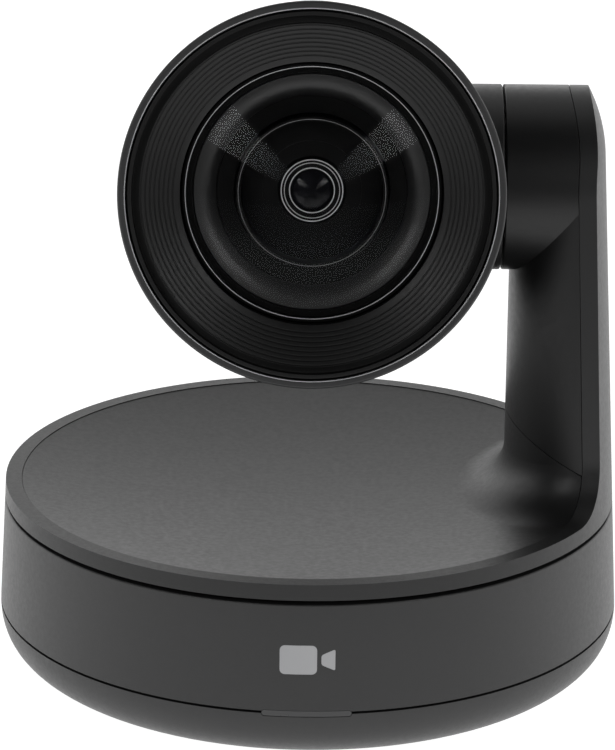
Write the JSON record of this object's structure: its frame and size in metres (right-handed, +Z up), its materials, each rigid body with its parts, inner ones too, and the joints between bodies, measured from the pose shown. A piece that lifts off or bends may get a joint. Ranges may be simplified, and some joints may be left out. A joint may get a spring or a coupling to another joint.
{
  "type": "ptz camera",
  "caption": "Pan-tilt-zoom video-conference camera: a drum head hung from one arm that turns on a round base, with lens groups, drives, bearings and boards inside.",
  "frame": {"origin": "middle of the foot ring, on the surface the camera stands on", "axes": "+Z up, the pan axis; the lens looks towards -Y; the arm stands on the +X side"},
  "size_m": [0.152, 0.152, 0.1759],
  "materials": {
    "base_plastic": "fine-textured charcoal moulded plastic",
    "rim_plastic": "fine-textured charcoal moulded plastic, rim and outer arm cover",
    "dish_plastic": "satin charcoal moulded plastic",
    "arm_plastic": "satin charcoal moulded plastic",
    "head_plastic": "fine-textured charcoal moulded plastic",
    "bezel_plastic": "satin black bezel",
    "baffle_black": "deep black ribbed light baffle",
    "inner_black": "matte black inner plastic",
    "lens_glass": "coated lens glass",
    "light_pipe": "smoked light pipe",
    "rubber": "black non-slip rubber",
    "brass": "turned brass",
    "steel": "bright steel",
    "cast_plate": "die-cast aluminium",
    "gear_plastic": "natural acetal",
    "motor_can": "zinc-plated motor can",
    "board_green": "green circuit board with chips",
    "socket_metal": "plated socket shell",
    "socket_black": "black socket housing",
    "magnet": "nickel-plated magnet"
  },
  "bodies": {
    "base": {"base_bowl": "base_plastic", "base_wall": "base_plastic", "status_light": "light_pipe", "foot_ring": "rubber", "tripod_insert": "brass", "base_screws": "steel", "lock_plate": "steel", "port_bay": "base_plastic", "power_socket": "socket_black", "video_socket": "socket_metal", "usb_socket": "socket_metal", "port_board": "board_green", "main_board": "board_green", "board_screws": "steel", "ballast_ring": "steel", "base_chassis": "cast_plate", "chassis_screws": "steel", "pan_race_inner": "steel", "pan_balls": "steel", "spindle_clip": "steel", "pan_motor": "motor_can"},
    "arm": {"pan_race_outer": "steel", "turntable": "cast_plate", "pan_gear": "gear_plastic", "gear_screws": "steel", "rim_screws": "steel", "arm_shell": "rim_plastic", "dish_cover": "dish_plastic", "arm_inner_cover": "arm_plastic", "arm_frame": "steel", "arm_screws": "steel", "tilt_race_outer": "steel", "tilt_balls": "steel", "tilt_motor": "motor_can"},
    "head": {"baffle_ring": "baffle_black", "bezel_ring": "bezel_plastic", "drive_magnets": "magnet", "front_glass": "lens_glass", "glass_retainer": "inner_black", "guide_rods": "steel", "head_barrel": "head_plastic", "lens_cone": "inner_black", "lens_screws": "steel", "lens_tube": "inner_black", "rear_cover": "head_plastic", "rod_holder": "inner_black", "sensor_board": "board_green", "sensor_glass": "lens_glass", "sensor_plate": "cast_plate", "shaft_screws": "steel", "tilt_gear": "gear_plastic", "tilt_race_inner": "steel", "tilt_shaft": "steel"},
    "pan_pinion": {"pan_pinion": "brass"},
    "tilt_pinion": {"tilt_pinion": "brass"},
    "zoom_group": {"zoom_cell": "inner_black", "zoom_glass": "lens_glass", "iris_ring": "inner_black"},
    "focus_group": {"focus_cell": "inner_black", "focus_glass": "lens_glass"}
  },
  "joints": [
    {"name": "pan", "type": "hinge", "parent": "base", "child": "arm", "pos_m": [0, 0, 0.0335], "axis": [0, 0, 1], "range_deg": [-90, 90]},
    {"name": "tilt", "type": "hinge", "parent": "arm", "child": "head", "pos_m": [0.0575, 0, 0.1242], "axis": [-1, 0, 0], "range_deg": [-99.7, 40.3]},
    {"name": "pan_pinion_spin", "type": "hinge", "parent": "base", "child": "pan_pinion", "pos_m": [-0.0336, 0, 0.035], "axis": [0, 0, 1], "range_deg": [-545, 545]},
    {"name": "tilt_pinion_spin", "type": "hinge", "parent": "arm", "child": "tilt_pinion", "pos_m": [0.0527, 0, 0.1002], "axis": [-1, 0, 0], "range_deg": [-125, 305]},
    {"name": "zoom", "type": "slide", "parent": "head", "child": "zoom_group", "axis": [0, -0.9856, 0.1688], "range_m": [-0.014, 0]},
    {"name": "focus", "type": "slide", "parent": "head", "child": "focus_group", "axis": [0, -0.9856, 0.1688], "range_m": [-0.006, 0]}
  ],
  "couplings": [
    {"joint": "pan_pinion_spin", "follows": "pan", "ratio": -6},
    {"joint": "tilt_pinion_spin", "follows": "tilt", "ratio": -3}
  ]
}
